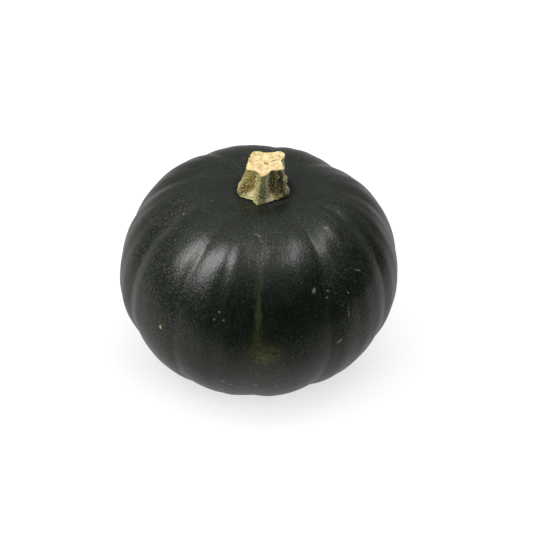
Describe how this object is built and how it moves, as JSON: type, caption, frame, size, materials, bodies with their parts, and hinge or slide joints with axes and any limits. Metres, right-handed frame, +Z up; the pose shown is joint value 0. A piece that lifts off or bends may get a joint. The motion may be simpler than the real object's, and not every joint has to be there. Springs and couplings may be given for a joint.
{
  "type": "mini pumpkin",
  "caption": "Small round dark green squash with shallow ribbed lobes and a short, cut, fluted corky stem, resting on its flat base.",
  "frame": {"origin": "middle of the fruit's plan box, at the level of the flat spot it rests on", "axes": "+Z up towards the stem, -Y towards the face seen in the picture, +X to the right in the picture"},
  "size_m": [0.1204, 0.1204, 0.1028],
  "materials": {
    "rind": "waxy semi-gloss squash skin, nearly black green with paler green grooves and fine pale specks",
    "stem_cork": "dry corky stem, cream ridges with olive green hollows and a pale cream cut face"
  },
  "bodies": {
    "root": {"fruit": "rind", "stem": "stem_cork"}
  },
  "joints": []
}
